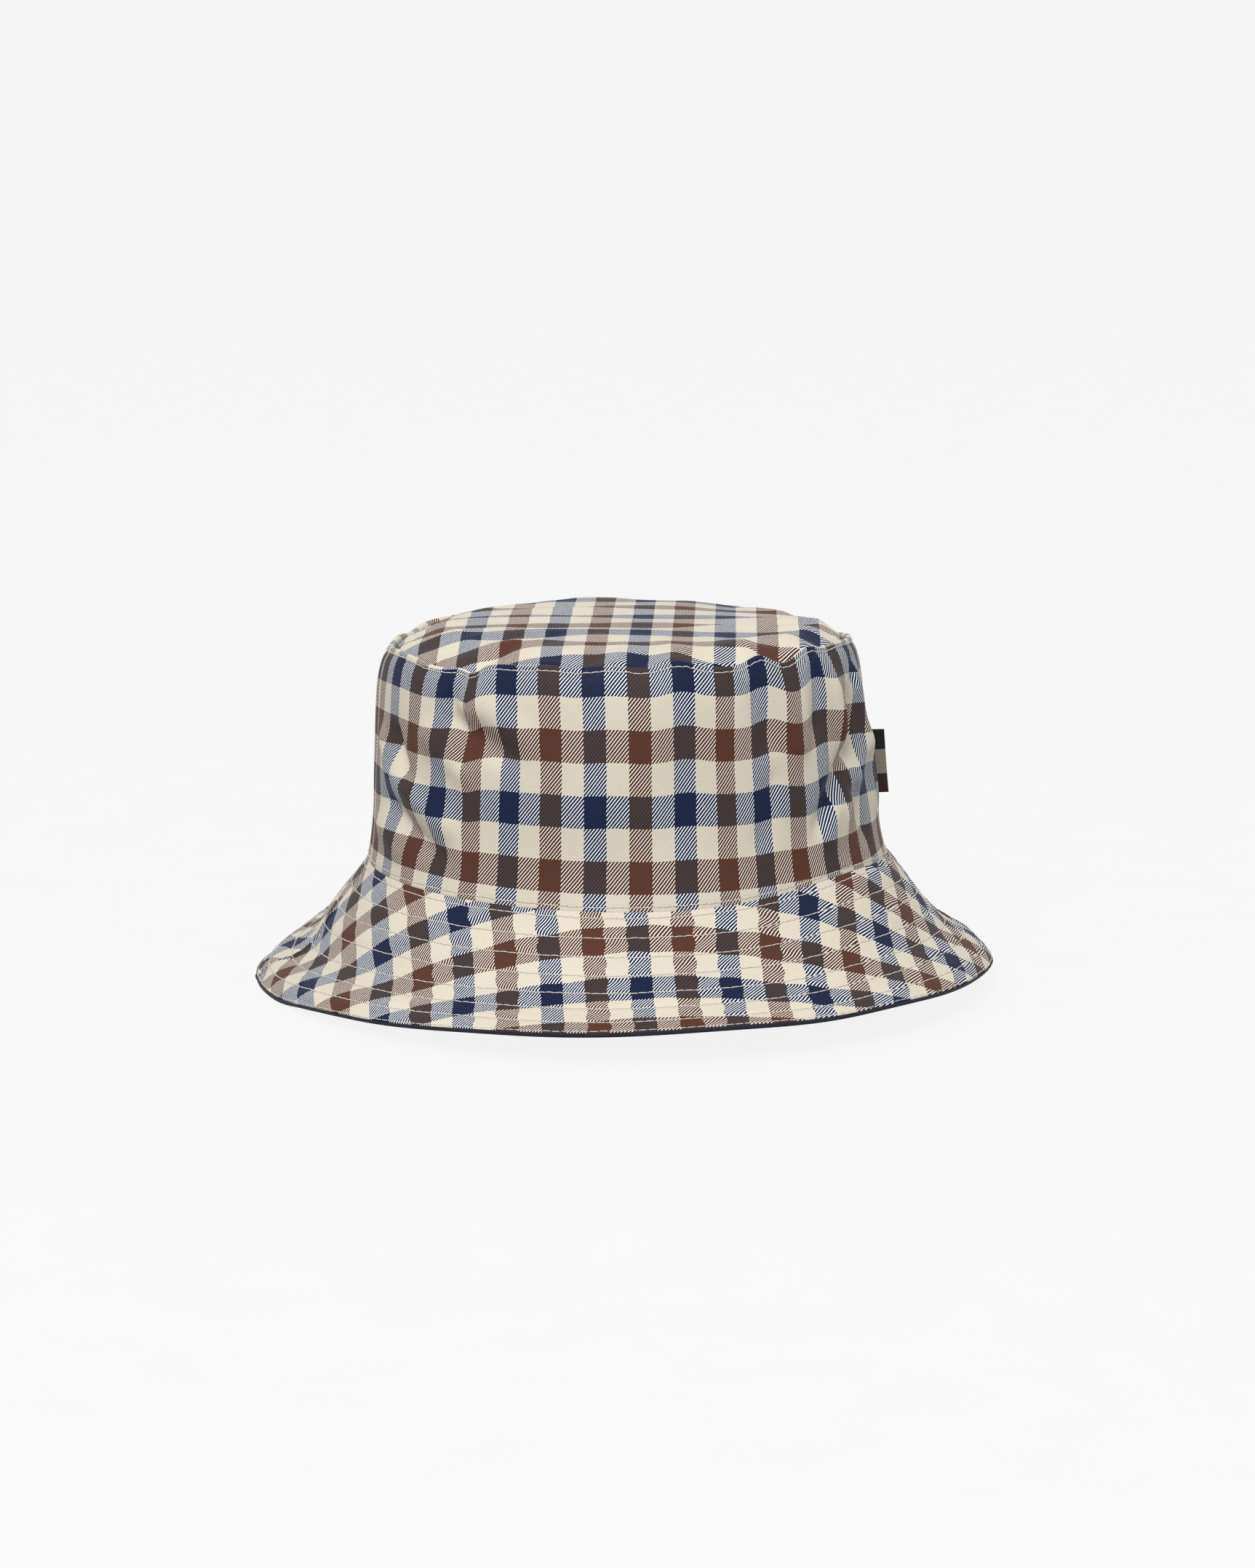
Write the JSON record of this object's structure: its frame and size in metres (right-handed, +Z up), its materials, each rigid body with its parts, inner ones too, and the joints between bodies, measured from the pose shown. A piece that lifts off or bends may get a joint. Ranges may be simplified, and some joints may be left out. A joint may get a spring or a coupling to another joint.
{
  "type": "bucket hat",
  "caption": "Soft round hat in two-colour check cloth with a tall flat-topped crown, a downturned stitched brim, a plain lining and a small ribbon loop in one side seam.",
  "frame": {"origin": "under the middle of the crown, on the plane that the brim's edge stands on", "axes": "+Z up through the crown, -Y the front, +X the side seam with the ribbon loop"},
  "size_m": [0.28, 0.28, 0.1272],
  "materials": {
    "check_cloth": "smooth printed cotton twill, cream ground with navy and brown bands",
    "navy_lining": "plain matt cloth",
    "interlining": "plain stiff white cloth",
    "cream_thread": "twisted sewing thread",
    "seam_thread": "twisted sewing thread",
    "tab_ribbon": "woven ribbon in three plain bands",
    "label_ribbon": "blank woven ribbon"
  },
  "bodies": {
    "root": {"side_panel_front": "check_cloth", "side_panel_back": "check_cloth", "side_lining": "navy_lining", "brim_top_front": "check_cloth", "brim_top_back": "check_cloth", "brim_interlining_front": "interlining", "brim_interlining_back": "interlining", "brim_under_front": "navy_lining", "brim_under_back": "navy_lining", "brim_stitch_row_1": "cream_thread", "brim_stitch_row_2": "cream_thread", "brim_stitch_row_3": "cream_thread", "brim_stitch_row_4": "cream_thread", "brim_stitch_row_5": "cream_thread", "brim_stitch_row_6": "cream_thread", "brim_stitch_row_7": "cream_thread", "brim_edge_stitch": "cream_thread", "base_topstitch": "cream_thread", "side_seam_thread_left": "seam_thread", "side_seam_thread_right": "seam_thread", "brim_seam_thread_left": "seam_thread", "brim_seam_thread_right": "seam_thread"},
    "crown_tip": {"tip_outer": "check_cloth", "tip_lining": "navy_lining", "tip_topstitch": "cream_thread"},
    "tab_seat": {"tab_tack": "cream_thread"},
    "tab": {"side_tab": "tab_ribbon"},
    "label_seat": {"label_stitch": "seam_thread"},
    "label": {"inner_label": "label_ribbon"}
  },
  "joints": [
    {"name": "crown_collapse", "type": "slide", "parent": "root", "child": "crown_tip", "axis": [0, 0, -1], "range_m": [0, 0.0471], "deforming": ["side_panel_front", "side_panel_back", "side_lining", "side_seam_thread_left", "side_seam_thread_right", "base_topstitch"]},
    {"name": "tab_drop", "type": "slide", "parent": "root", "child": "tab_seat", "axis": [0, 0, -1], "range_m": [0, 0.0187]},
    {"name": "tab_flex", "type": "hinge", "parent": "tab_seat", "child": "tab", "pos_m": [0.0915, 0, 0.0624], "axis": [-0.0715, 0, 0.9974], "range_deg": [-70, 70], "stiffness_Nm_per_rad": 0.00001},
    {"name": "label_drop", "type": "slide", "parent": "root", "child": "label_seat", "axis": [0, 0, -1], "range_m": [0, 0.03181]},
    {"name": "label_flip", "type": "hinge", "parent": "label_seat", "child": "label", "pos_m": [0, 0.0856, 0.096], "axis": [-1, 0, 0], "range_deg": [0, 75]}
  ],
  "couplings": [
    {"joint": "tab_drop", "follows": "crown_collapse", "ratio": 0.3968},
    {"joint": "label_drop", "follows": "crown_collapse", "ratio": 0.6752}
  ]
}
